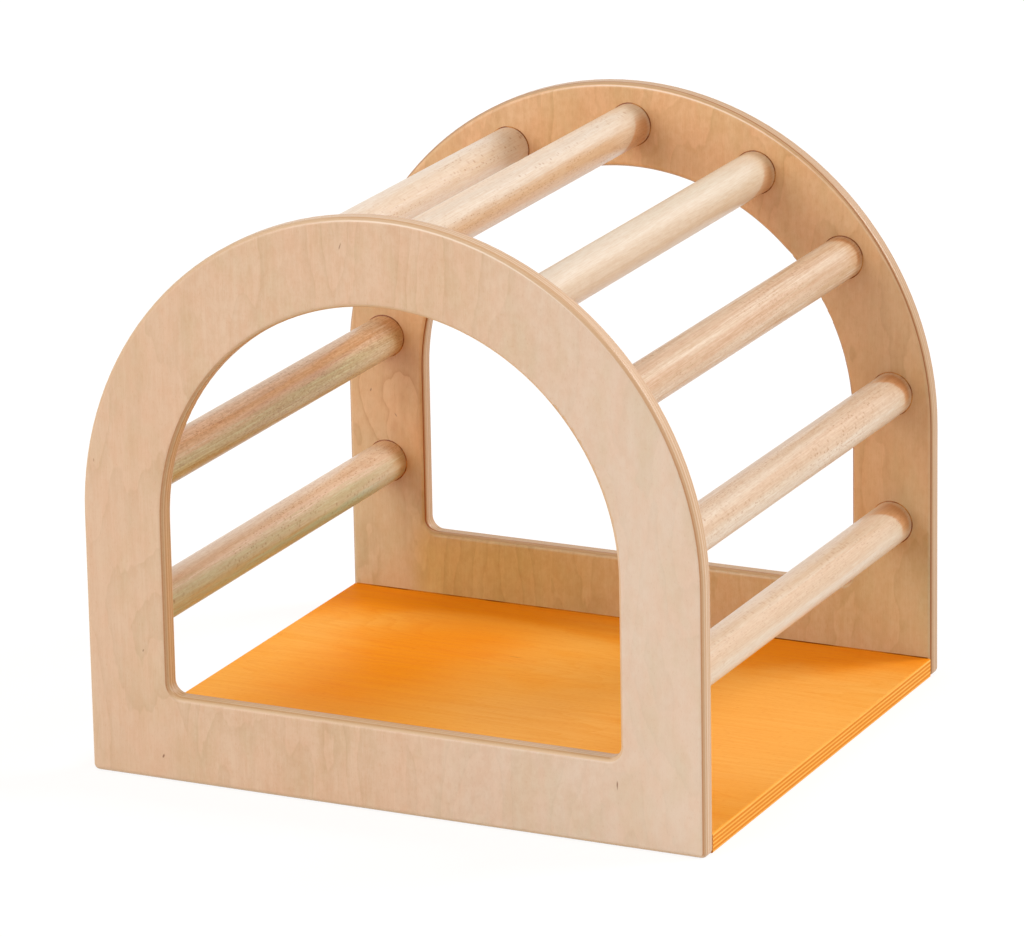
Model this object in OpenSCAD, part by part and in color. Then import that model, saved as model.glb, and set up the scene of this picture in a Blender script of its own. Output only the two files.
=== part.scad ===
// Climbing arch with a floor: two plywood side panels with an arched doorway,
// joined by round wooden rungs that follow the arch, and by a stained floor board.
// Units are millimetres. X runs across the doorways, Y through the tunnel and Z up.
// The origin is on the ground, at the middle of the base.

/* [Side panels] */
// Width of a side panel, across the doorway
panel_w = 600; // [560:5:700]
// Height of a side panel; the top is a half circle over the full width
panel_h = 540; // [500:5:640]
// Overall length of the tunnel, over the outer faces of both panels
tunnel_l = 540; // [420:5:700]
// Thickness of the side panels
panel_t = 18; // [16:0.5:24]
// Width of the frame beside and above the doorway
band_w = 80; // [70:1:100]
// Height of the rail below the doorway
sill_h = 80; // [60:1:110]
// Radius of the doorway's two lower corners
doorway_corner_r = 12; // [8:0.5:30]
// Radius of the panel's two lower outer corners
foot_corner_r = 5.5; // [5.5:0.5:12]
// Radius of the rounding along every edge of a side panel
panel_edge_r = 5; // [2:0.5:5]

/* [Rungs] */
// Diameter of a rung
rung_d = 40; // [30:0.5:44]
// How deep a rung reaches into each side panel
rung_tenon = 10; // [6:0.5:12]
// Gap around a rung in its bore
rung_gap = 0.15; // [0.05:0.05:0.3]
// Gap between a rung's end and the bottom of its bore
rung_end_gap = 0.3; // [0.2:0.1:1]
// Bevel around the ends of a rung
rung_bevel = 1; // [0.5:0.1:2]
// Bevel around the mouth of a rung's bore
bore_bevel = 0.6; // [0.2:0.1:1]

/* [Rung places] */
// How far the crown rung lies outside the middle of the frame's width
crown_rung_shift = 1; // [-10:0.5:10]
// Angle of the haunch rungs above the arch's centre, in degrees
haunch_rung_angle = 61.2; // [58:0.1:64]
// How far the haunch rungs lie outside the middle of the frame's width
haunch_rung_shift = -1; // [-10:0.5:10]
// Angle of the shoulder rungs above the arch's centre, in degrees
shoulder_rung_angle = 36.2; // [33:0.1:40]
// How far the shoulder rungs lie outside the middle of the frame's width
shoulder_rung_shift = 2; // [-10:0.5:10]
// Height of the middle of the upper leg rungs
upper_leg_rung_h = 270; // [250:1:280]
// Height of the middle of the lower leg rungs
lower_leg_rung_h = 146; // [110:1:160]

/* [Floor board] */
// Thickness of the floor board
floor_t = 18; // [16:0.5:21]
// Distance that each long edge of the floor lies inside the panels' side edges
floor_setback = 1; // [0:0.5:20]
// Radius of the rounding along the floor's long edges
floor_edge_r = 1.5; // [1:0.5:5]

/* [Floor dowels] */
// Diameter of a hidden dowel between the floor and a panel
dowel_d = 8; // [6:0.5:10]
// Length of a dowel
dowel_l = 40; // [30:1:50]
// How deep a dowel's bore goes into a side panel
dowel_panel_depth = 12; // [8:0.5:13]
// Gap around a dowel in its bores
dowel_gap = 0.1; // [0.05:0.05:0.2]
// Gap between a dowel's end and the bottom of each of its bores
dowel_end_gap = 0.3; // [0.2:0.1:1]
// Bevel around the ends of a dowel
dowel_bevel = 0.8; // [0.3:0.1:1]
// Number of dowels along each panel
dowel_count = 5; // [3:1:7]
// Distance of the outermost dowels from the floor's long edges
dowel_edge_margin = 60; // [40:5:100]

/* [Hidden] */
$fn = 96;

// Reach of a cutting solid past the face that it opens
PAST = 1;

// The arch's outer radius and its centre's height
arch_r = panel_w / 2;
arch_z = panel_h - arch_r;
doorway_r = arch_r - band_w;

// Distances of the panels' faces from the middle of the tunnel
outer_face_y = tunnel_l / 2;
inner_face_y = outer_face_y - panel_t;

// The floor board between the panels
floor_w = panel_w - 2 * floor_setback;
floor_l = 2 * inner_face_y;

// Rungs, as [name, x, z]: the crown rung, then pairs from the haunches down to the legs
band_middle_r = arch_r - band_w / 2;
haunch_rung_r = band_middle_r + haunch_rung_shift;
shoulder_rung_r = band_middle_r + shoulder_rung_shift;
haunch_rung_x = haunch_rung_r * cos(haunch_rung_angle);
haunch_rung_z = arch_z + haunch_rung_r * sin(haunch_rung_angle);
shoulder_rung_x = shoulder_rung_r * cos(shoulder_rung_angle);
shoulder_rung_z = arch_z + shoulder_rung_r * sin(shoulder_rung_angle);
RUNGS = [
    ["crown_rung", 0, arch_z + band_middle_r + crown_rung_shift],
    ["left_haunch_rung", -haunch_rung_x, haunch_rung_z],
    ["right_haunch_rung", haunch_rung_x, haunch_rung_z],
    ["left_shoulder_rung", -shoulder_rung_x, shoulder_rung_z],
    ["right_shoulder_rung", shoulder_rung_x, shoulder_rung_z],
    ["left_upper_leg_rung", -band_middle_r, upper_leg_rung_h],
    ["right_upper_leg_rung", band_middle_r, upper_leg_rung_h],
    ["left_lower_leg_rung", -band_middle_r, lower_leg_rung_h],
    ["right_lower_leg_rung", band_middle_r, lower_leg_rung_h]
];

// Dowels lie in the middle of the floor's thickness, evenly along its ends
dowel_floor_depth = dowel_l + 2 * dowel_end_gap - dowel_panel_depth;
dowel_pitch = (floor_w - 2 * dowel_edge_margin) / (dowel_count - 1);
dowel_xs = [for (i = [0 : dowel_count - 1]) -floor_w / 2 + dowel_edge_margin + i * dowel_pitch];

// Lays a solid down, so that what pointed up points along +Y
module along_y() {
    rotate([-90, 0, 0]) children();
}

// The upper half of a solid of revolution around Y, from half of its cross-section
module half_turn() {
    rotate([90, 0, 0]) rotate_extrude(angle = 180) children();
}

// Half of a board's cross-section: from the middle out to a rounded edge
module rounded_half(reach, t, r) {
    difference() {
        translate([0, -t / 2]) square([reach, t]);
        for (side = [0, 1]) mirror([0, side])
            translate([reach - r, t / 2 - r])
                difference() {
                    square(r + PAST);
                    circle(r);
                }
    }
}

// Half of an opening's cross-section: it flares where the edges around it are rounded
module flared_half(reach, t, r) {
    difference() {
        translate([0, -t / 2 - PAST]) square([reach + r, t + 2 * PAST]);
        for (side = [-1, 1])
            translate([reach + r, side * (t / 2 - r)]) circle(r);
        translate([reach, r - t / 2]) square([2 * r, t - 2 * r]);
    }
}

// A full-width board standing on edge, rounded along both of its sides
module upright_board(half_w, z0, z1, t, r) {
    translate([0, 0, z0])
        linear_extrude(z1 - z0)
            for (side = [0, 1]) mirror([side, 0]) rounded_half(half_w, t, r);
}

// The outside of a side panel, standing in the plane y = 0, without its doorway
module panel_blank() {
    translate([0, 0, arch_z])
        half_turn() rounded_half(arch_r, panel_t, panel_edge_r);
    upright_board(arch_r, foot_corner_r, arch_z, panel_t, panel_edge_r);
    // the foot, from corner to corner
    translate([-arch_r + foot_corner_r, 0, arch_z])
        rotate([0, 90, 0])
            linear_extrude(panel_w - 2 * foot_corner_r)
                rounded_half(arch_z, panel_t, panel_edge_r);
    for (side = [-1, 1])
        translate([side * (arch_r - foot_corner_r), 0, foot_corner_r]) along_y()
            rotate_extrude() rounded_half(foot_corner_r, panel_t, panel_edge_r);
}

// The doorway, as the solid that is taken away from a panel
module doorway() {
    translate([0, 0, arch_z])
        half_turn() flared_half(doorway_r, panel_t, panel_edge_r);
    translate([0, 0, sill_h + doorway_corner_r])
        linear_extrude(arch_z - sill_h - doorway_corner_r)
            for (side = [0, 1]) mirror([side, 0])
                flared_half(doorway_r, panel_t, panel_edge_r);
    // the sill, between the two lower corners
    translate([-doorway_r + doorway_corner_r, 0, arch_z])
        rotate([0, 90, 0])
            linear_extrude(2 * (doorway_r - doorway_corner_r))
                flared_half(arch_z - sill_h, panel_t, panel_edge_r);
    for (side = [-1, 1])
        translate([side * (doorway_r - doorway_corner_r), 0, sill_h + doorway_corner_r])
            along_y() rotate_extrude()
                flared_half(doorway_corner_r, panel_t, panel_edge_r);
}

// A blind rung bore, sunk from the inner face, which lies at y = 0
module rung_bore() {
    bore_r = rung_d / 2 + rung_gap;
    along_y() {
        translate([0, 0, -PAST]) cylinder(h = rung_tenon + PAST, r = bore_r);
        translate([0, 0, -bore_bevel])
            cylinder(h = 2 * bore_bevel, r1 = bore_r + 2 * bore_bevel, r2 = bore_r);
    }
}

// A dowel bore along +Y from y = 0, opened past its mouth
module dowel_bore(depth) {
    translate([0, -PAST, 0]) along_y()
        cylinder(h = depth + PAST, d = dowel_d + 2 * dowel_gap, $fn = 48);
}

// A side panel, with its inner face towards -Y at the back of the tunnel
module back_panel() {
    color("#D9B48C")
    difference() {
        translate([0, outer_face_y - panel_t / 2, 0])
            difference() {
                panel_blank();
                doorway();
            }
        for (rung = RUNGS)
            translate([rung[1], inner_face_y, rung[2]]) rung_bore();
        for (x = dowel_xs)
            translate([x, inner_face_y, floor_t / 2]) dowel_bore(dowel_panel_depth);
    }
}

// The front panel is the same board, turned to face the other way
module front_panel() {
    mirror([0, 1, 0]) back_panel();
}

// The stained board between the panels, rounded along its two long edges
module floor_panel() {
    color("#F59A3C")
    difference() {
        translate([0, inner_face_y, floor_t / 2])
            rotate([90, 0, 0])
                linear_extrude(floor_l)
                    for (side = [0, 1]) mirror([side, 0])
                        rounded_half(floor_w / 2, floor_t, floor_edge_r);
        for (side = [0, 1]) mirror([0, side, 0])
            for (x = dowel_xs)
                translate([x, -inner_face_y, floor_t / 2]) dowel_bore(dowel_floor_depth);
    }
}

// A round bar along Y with its middle at the origin and both ends bevelled
module bevelled_bar(l, d, bevel) {
    along_y() {
        translate([0, 0, bevel - l / 2]) cylinder(h = l - 2 * bevel, d = d);
        for (side = [0, 1]) mirror([0, 0, side])
            translate([0, 0, l / 2 - bevel])
                cylinder(h = bevel, d1 = d, d2 = d - 2 * bevel);
    }
}

// A rung, from the bottom of one bore to the bottom of the other
module rung(x, z) {
    color("#E8CBA5")
    translate([x, 0, z])
        bevelled_bar(2 * (inner_face_y + rung_tenon - rung_end_gap), rung_d, rung_bevel);
}

// The row of hidden dowels between the floor and the back panel
module back_floor_dowels() {
    dowel_middle_y = inner_face_y + dowel_panel_depth - dowel_end_gap - dowel_l / 2;
    color("#DDBB8E")
    for (x = dowel_xs)
        translate([x, dowel_middle_y, floor_t / 2])
            bevelled_bar(dowel_l, dowel_d, dowel_bevel, $fn = 48);
}

module front_floor_dowels() {
    mirror([0, 1, 0]) back_floor_dowels();
}

front_panel();
back_panel();
floor_panel();
for (rung = RUNGS)
    rung(rung[1], rung[2]);
front_floor_dowels();
back_floor_dowels();
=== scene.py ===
"""Looks of a climbing arch: two birch-ply side panels, nine beech rungs and a stained floor.

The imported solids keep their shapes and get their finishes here.  The thin beads of lacquer
at the rungs' mouths and along the floor's ends are modelled as pieces of their own.
Lengths are metres.  X runs across the doorways, Y through the tunnel and Z up.
"""

from __future__ import annotations

import logging
import math
from dataclasses import dataclass
from enum import Enum
from typing import Callable, Optional, Sequence, Union

import bpy
from mathutils import Matrix, Vector


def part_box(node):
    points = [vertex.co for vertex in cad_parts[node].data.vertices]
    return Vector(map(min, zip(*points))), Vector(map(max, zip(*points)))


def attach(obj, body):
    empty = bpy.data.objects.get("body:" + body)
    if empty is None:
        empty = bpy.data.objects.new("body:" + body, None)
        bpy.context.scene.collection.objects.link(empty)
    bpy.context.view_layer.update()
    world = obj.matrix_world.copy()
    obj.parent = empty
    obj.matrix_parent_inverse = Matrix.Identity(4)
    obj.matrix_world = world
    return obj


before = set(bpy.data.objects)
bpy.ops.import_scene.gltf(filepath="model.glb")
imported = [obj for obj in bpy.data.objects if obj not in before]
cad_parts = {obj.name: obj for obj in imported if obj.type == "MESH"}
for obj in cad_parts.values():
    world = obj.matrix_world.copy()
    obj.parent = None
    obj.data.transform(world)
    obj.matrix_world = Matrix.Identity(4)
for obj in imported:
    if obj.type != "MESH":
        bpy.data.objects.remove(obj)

log = logging.getLogger("climbing_arch")

Socket = bpy.types.NodeSocket
Value = Union[float, "Reading"]
Colour = tuple[float, float, float, float]
Paint = Union[Colour, Socket]
Triple = tuple[float, float, float]
Inputs = Union[Sequence[object], dict[Union[int, str], object]]

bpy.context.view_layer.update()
BODY = "root"
MM = 0.001
PANEL_FACE = 252 * MM  # from the object's middle to each panel's inner face
ARCH_FOOT = 240 * MM  # the height at which the panels' round tops begin
ARCH_RADIUS = 300 * MM
FAR = 1e3  # a size so large that its axis doesn't count
ZERO = (0.0, 0.0, 0.0)
ONE = (1.0, 1.0, 1.0)


def tone(code: str) -> Colour:
    """Turn a colour as it looks on a screen into a linear one.

    Args:
        code: six hex digits, red first.

    Returns:
        The linear colour with full alpha.
    """
    parts = [int(code[i:i + 2], 16) / 255 for i in (0, 2, 4)]
    red, green, blue = [
        p / 12.92 if p <= 0.04045 else ((p + 0.055) / 1.055) ** 2.4 for p in parts
    ]
    return (red, green, blue, 1.0)


class Axis(Enum):
    """An axis of the frame, by its place in a vector."""

    X = 0
    Y = 1
    Z = 2


class Blend(Enum):
    """The ways in which two colours are laid over each other."""

    MIX = "MIX"
    MULTIPLY = "MULTIPLY"


# ------------ node benches


def reckon(operation: str) -> Callable[..., Reading]:
    """Make a method that hands its reading and the other numbers to a Math node.

    Args:
        operation: the node's operation.

    Returns:
        The method.
    """
    def method(self: Reading, *others: Value) -> Reading:
        """Work out the new reading."""
        return self.bench.math(operation, self, *others)

    return method


class Reading:
    """A number that nodes work out at each point, to be reckoned with like any other.

    Most gives the larger of two, below gives 1 under a limit, whole rounds down and rest
    gives what is above the whole part.
    """

    def __init__(self, bench: NodeBench, socket: Socket) -> None:
        """Keep the output socket and the bench that it belongs to."""
        self.bench = bench
        self.socket = socket

    __add__ = reckon("ADD")
    __sub__ = reckon("SUBTRACT")
    __mul__ = reckon("MULTIPLY")
    __truediv__ = reckon("DIVIDE")
    __pow__ = reckon("POWER")
    __abs__ = reckon("ABSOLUTE")
    most = reckon("MAXIMUM")
    below = reckon("LESS_THAN")
    whole = reckon("FLOOR")
    rest = reckon("FRACT")

    def __rsub__(self, other: float) -> Reading:
        """Subtract from a plain number."""
        return self.bench.math("SUBTRACT", other, self)

    def fade(self, low: float, high: float) -> Reading:
        """Fall from 1 to 0 over a range of numbers."""
        return self.ease(low, high, 1.0, 0.0)

    def toward(self, other: Reading, share: Reading) -> Reading:
        """Go from this number to another one by a share."""
        return (other - self) * share + self

    def ease(self, low: float, high: float, out_low: float = 0.0, out_high: float = 1.0,
             smooth: bool = True) -> Reading:
        """Map a range of numbers on another, and stop at its ends.

        Args:
            low: where the output is out_low.
            high: where the output is out_high.
            out_low: the output at low.
            out_high: the output at high.
            smooth: ease in and out.

        Returns:
            The mapped number.
        """
        inputs = {"Value": self, "From Min": low, "From Max": high,
                  "To Min": out_low, "To Max": out_high}
        kind = "SMOOTHSTEP" if smooth else "LINEAR"
        node = self.bench.node("MapRange", inputs, interpolation_type=kind, clamp=True)
        return Reading(self.bench, node.outputs["Result"])


@dataclass(frozen=True)
class Noise:
    """A smooth random pattern, around one half.

    The scale gives pattern units per metre along X, Y and Z, detail the number of finer
    layers, rough how strong they are, and warp how far the pattern bends itself.
    """

    scale: Triple = ONE
    detail: float = 2.0
    rough: float = 0.5
    warp: float = 0.0


class NodeBench:
    """A node tree, with a method for adding nodes and one for closing it."""

    def __init__(self, owner: Union[bpy.types.Material, bpy.types.World]) -> None:
        """Empty the node tree of a material or of the world.

        Args:
            owner: what the nodes belong to.
        """
        owner.use_nodes = True
        self.owner = owner
        self.tree = owner.node_tree
        self.tree.nodes.clear()

    def node(self, kind: str, inputs: Inputs = (), **settings: object) -> bpy.types.Node:
        """Add a node and feed its inputs.

        Args:
            kind: the node's type name, without its ShaderNode.
            inputs: what its inputs get, in order or by name: readings, sockets or values.
            **settings: properties of the node to set first.

        Returns:
            The new node.
        """
        node = self.tree.nodes.new(f"ShaderNode{kind}")
        for key, setting in settings.items():
            setattr(node, key, setting)
        for key, value in inputs.items() if isinstance(inputs, dict) else enumerate(inputs):
            source = value.socket if isinstance(value, Reading) else value
            if isinstance(source, bpy.types.NodeSocket):
                self.tree.links.new(source, node.inputs[key])
            else:
                node.inputs[key].default_value = source
        return node

    def math(self, operation: str, *values: Value) -> Reading:
        """Work out one number from others with a Math node."""
        return Reading(self, self.node("Math", values, operation=operation).outputs[0])

    def close(self, shader: Socket, output: str = "OutputMaterial") -> bpy.types.ID:
        """Close the tree with its output, and give the material or the world."""
        self.node(output, [shader])
        return self.owner


class SurfaceBench(NodeBench):
    """The nodes of a material, with one short method for each kind used here.

    Its x, y and z are the point being shaded and facing is the surface's direction, both in
    the piece's own coordinates.  Patterns are read at the place that at gives.
    """

    def __init__(self, name: str) -> None:
        """Start an empty material.

        Args:
            name: the material's name.
        """
        super().__init__(bpy.data.materials.new(name))
        coordinates = self.node("TexCoord").outputs
        self.at = coordinates["Object"]
        self.facing = coordinates["Normal"]
        self.x, self.y, self.z = (self.part(self.at, axis) for axis in Axis)

    def part(self, vector: Socket, axis: Axis) -> Reading:
        """Give one coordinate of a vector."""
        return Reading(self, self.node("SeparateXYZ", [vector]).outputs[axis.value])

    def vector(self, x: Value, y: Value, z: Value) -> Socket:
        """Join three coordinates into a vector."""
        return self.node("CombineXYZ", [x, y, z]).outputs[0]

    def length(self, vector: Socket) -> Reading:
        """Give the length of a vector."""
        node = self.node("VectorMath", [vector], operation="LENGTH")
        return Reading(self, node.outputs["Value"])

    def moved(self, by: Socket) -> Socket:
        """Move the place by a vector."""
        return self.node("VectorMath", [self.at, by], operation="ADD").outputs[0]

    def within(self, centre: Triple, turn: Triple, size: Triple = ONE) -> Socket:
        """See the place from a centre, along axes turned by degrees, in units of their size."""
        inputs = [self.at, centre, [math.radians(angle) for angle in turn], size]
        return self.node("Mapping", inputs, vector_type="TEXTURE").outputs[0]

    def away(self, centre: Triple, turn: Triple, size: Triple) -> Reading:
        """Measure how far the place lies from an oval's centre, 1 being its rim."""
        return self.length(self.within(centre, turn, size))

    def reach(self) -> Reading:
        """Measure the distance to the arch's axis or, lower down, to the plane X = 0."""
        above = (self.z - ARCH_FOOT).most(0.0)
        return self.length(self.vector(self.x, 0.0, above))

    def noise(self, kind: Noise, shift: Triple = ZERO, at: Optional[Socket] = None) -> Reading:
        """Read a smooth random pattern.

        Args:
            kind: the pattern.
            shift: which stretch of it is used, in its units.
            at: another place than the bench's own.

        Returns:
            The noise, from 0 to 1.
        """
        place = self.at if at is None else at
        scaled = self.node("Mapping", [place, shift, ZERO, kind.scale], vector_type="POINT")
        inputs = {"Vector": scaled.outputs[0], "Scale": 1.0, "Detail": kind.detail,
                  "Roughness": kind.rough, "Distortion": kind.warp}
        return Reading(self, self.node("TexNoise", inputs, noise_dimensions="3D").outputs["Fac"])

    def cells(self, at: Socket) -> tuple[Reading, Reading]:
        """Scatter points, one in each unit cell.

        Args:
            at: the place, in pattern units.

        Returns:
            The distance to the nearest point, and a number from 0 to 1 that belongs to it.
        """
        node = self.node("TexVoronoi", {"Vector": at, "Scale": 1.0}, voronoi_dimensions="3D",
                         feature="F1")
        return Reading(self, node.outputs["Distance"]), self.part(node.outputs["Color"], Axis.X)

    def blend(self, share: Value, under: Paint, over: Paint, way: Blend = Blend.MIX) -> Socket:
        """Lay one colour over another by a share, mixed with it or multiplied."""
        inputs = {0: share, 6: under, 7: over}
        return self.node("Mix", inputs, data_type="RGBA", blend_type=way.value,
                         clamp_factor=True).outputs[2]

    def shade(self, colour: Paint, share: Value, tint: Colour) -> Socket:
        """Darken a colour by a share of a tint."""
        return self.blend(share, colour, tint, Blend.MULTIPLY)

    def bump(self, height: Reading, strength: float, depth: float,
             under: Optional[Socket] = None) -> Socket:
        """Raise or sink the surface a little.

        Args:
            height: the height, from 0 to 1.
            strength: how strongly it shows.
            depth: the height of 1, in metres.
            under: a bump that this one is added to.

        Returns:
            The new normal.
        """
        inputs = {"Strength": strength, "Distance": depth, "Height": height}
        if under is not None:
            inputs["Normal"] = under
        return self.node("Bump", inputs).outputs[0]

    def surface(self, colour: Socket, gloss: Reading, normal: Socket,
                **constants: float) -> bpy.types.Material:
        """Close the tree with a surface of wood or lacquer.

        Args:
            colour: the base colour.
            gloss: the roughness.
            normal: the bumped normal.
            **constants: the shader's other inputs, with _ for a space.

        Returns:
            The finished material.
        """
        inputs = {"Base Color": colour, "Roughness": gloss, "Normal": normal}
        for key, number in constants.items():
            inputs[key.replace("_", " ")] = number
        return self.close(self.node("BsdfPrincipled", inputs).outputs[0])


# ------------ finishes


@dataclass(frozen=True)
class PlyCut:
    """What a board's surface shows at a point.

    Depth is measured from the inner face, and number counts the plies.  The rest run from
    0 to 1: veneer in a face veneer, crossed in a crossed ply, end for end grain, edge for
    how far the surface is turned from the face, plain where lines show at full strength,
    glue in a glue line, and skin in the dark lines under the veneers.
    """

    depth: Reading
    number: Reading
    veneer: Reading
    crossed: Reading
    end: Reading
    edge: Reading
    plain: Reading
    glue: Reading
    skin: Reading


@dataclass(frozen=True)
class Layup:
    """The plies of a board: a thin face veneer on each side of equal crossed plies.

    The outer face is the one further from the middle of the object.
    """

    through: Axis
    grain: Axis
    cross: Axis
    face_at: float
    thickness: float = 18 * MM
    outer_veneer: float = 0.40 * MM
    inner_veneer: float = 1.0 * MM
    inner_plies: int = 9
    glue_share: float = 0.06
    skin_line: float = 0.7 * MM
    inner_line: float = 1.0 * MM
    second_line: float = 0.8
    outer_rim: float = 3 * MM
    sanded: float = 3 * MM

    def read(self, bench: SurfaceBench) -> PlyCut:
        """Work out which ply a point lies in and how it is cut there.

        Args:
            bench: the material's nodes.

        Returns:
            What the surface shows there.
        """
        depth = abs(bench.part(bench.at, self.through)) - self.face_at
        under = self.thickness - depth
        veneer = depth.below(self.inner_veneer).most(under.below(self.outer_veneer))
        bare = 1.0 - veneer
        ply = (self.thickness - self.outer_veneer - self.inner_veneer) / self.inner_plies
        count = (depth - self.inner_veneer) / ply
        number = count.whole()
        crossed = (1.0 - bench.math("FLOORED_MODULO", number, 2.0)) * bare

        on_grain = abs(bench.part(bench.facing, self.grain))
        on_cross = abs(bench.part(bench.facing, self.cross))
        edge = bench.length(bench.vector(on_grain, on_cross, 0.0))
        sideways = on_cross / edge.most(0.01)
        upward = on_grain / edge.most(0.01)
        end = crossed * sideways + (1.0 - crossed) * bare * upward
        rightward = bench.part(bench.facing, self.cross).ease(-0.30, -0.05, 0.1, 1.0)
        plain = under.ease(self.outer_rim, self.outer_rim + 1 * MM).most(rightward)

        glue = bench.math("PINGPONG", count, 0.5).below(self.glue_share)
        side = sideways.ease(0.56, 1.0)
        outer = self.line_under(under, self.outer_veneer, self.skin_line) * plain * side * side
        second = abs(under - (self.outer_veneer + 2 * ply)).fade(0.2 * MM, 0.5 * MM)
        second = second * sideways.ease(0.3, 0.6, 0.0, self.second_line)
        inner = self.line_under(depth - (1.0 - sideways) * self.sanded, self.inner_veneer,
                                self.inner_line)
        return PlyCut(
            depth=depth, number=number, veneer=veneer, crossed=crossed,
            end=end.ease(0.35, 0.95) * edge.ease(0.1, 0.6) * plain,
            edge=edge, plain=plain,
            glue=glue * upward.ease(0.5, 1.0, 1.0, 0.3) * bare,
            skin=outer.most(second).most(inner) * bare,
        )

    def line_under(self, depth: Reading, veneer: float, width: float) -> Reading:
        """Give the dark line that the sanded edge shows just under a veneer.

        Args:
            depth: how far a point lies under the face.
            veneer: the veneer's thickness.
            width: the line's width.

        Returns:
            1 in the line and 0 beside it.
        """
        end = veneer + width
        fade = depth.fade(end - 0.3 * width, end)
        return fade * depth.ease(veneer - 0.1 * MM, veneer + 0.1 * MM)


@dataclass(frozen=True)
class Spot:
    """An oval place on a panel's face, its lean in radians."""

    x: float
    z: float
    width: float
    height: float
    lean: float = 0.0

    def far(self, bench: SurfaceBench) -> Reading:
        """Measure how far a point lies from the place, 1 being the oval's rim."""
        size = (self.width / 2, FAR, self.height / 2)
        return bench.away((self.x, 0.0, self.z), (0.0, math.degrees(self.lean), 0.0), size)


@dataclass(frozen=True)
class Pin(Spot):
    """A small dark mark in a face veneer, as pin knots and gum streaks leave."""

    strength: float = 0.8


@dataclass(frozen=True)
class Swirl(Spot):
    """A place where the figure of a face veneer closes into rings, as over a bud."""

    rings: float = 3.0


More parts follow.
